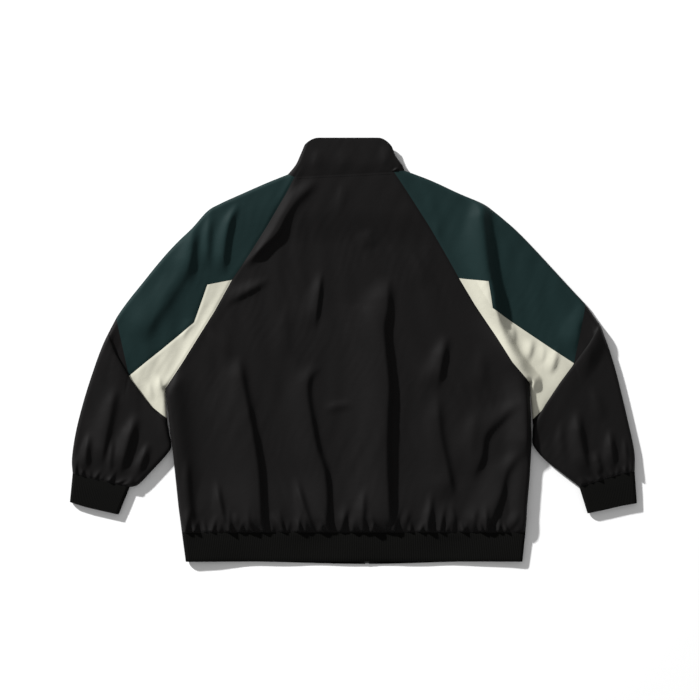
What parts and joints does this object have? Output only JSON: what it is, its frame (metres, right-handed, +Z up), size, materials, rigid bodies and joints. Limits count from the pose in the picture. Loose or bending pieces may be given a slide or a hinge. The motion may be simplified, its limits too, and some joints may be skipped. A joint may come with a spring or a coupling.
{
  "type": "track jacket",
  "caption": "Oversized raglan track jacket with a stand collar, rib hem and cuffs, zipped up and laid flat on its front with the sleeves folded down at the elbows.",
  "frame": {"origin": "centre of the box around the jacket, at the height of the surface that its front lies on", "axes": "+X to the wearer's right, +Y from the hem towards the collar, +Z up, out of the back panel"},
  "size_m": [1.022, 0.7672, 0.0219],
  "materials": {
    "shell_black": "matt woven nylon",
    "shell_green": "matt woven nylon",
    "shell_cream": "matt woven nylon",
    "rib_knit": "rib knit",
    "zip_tape": "woven tape with a moulded chain",
    "zip_metal": "black lacquer"
  },
  "bodies": {
    "garment": {"back": "shell_black", "front_left": "shell_black", "front_right": "shell_black", "sleeve_top_left": "shell_green", "sleeve_top_right": "shell_green", "sleeve_under_left": "shell_cream", "sleeve_under_right": "shell_cream", "sleeve_lower_left": "shell_black", "sleeve_lower_right": "shell_black", "cuff_left": "rib_knit", "cuff_right": "rib_knit", "hem_band": "rib_knit", "collar": "shell_black", "zip_left": "zip_tape", "zip_right": "zip_tape", "zip_slider": "zip_metal"},
    "pull": {"zip_pull": "zip_metal"}
  },
  "joints": [
    {"name": "zip_pull_hinge", "type": "hinge", "parent": "garment", "child": "pull", "pos_m": [-0.0126, 0.306, 0.004], "axis": [1, 0, 0], "range_deg": [0, 150]}
  ]
}
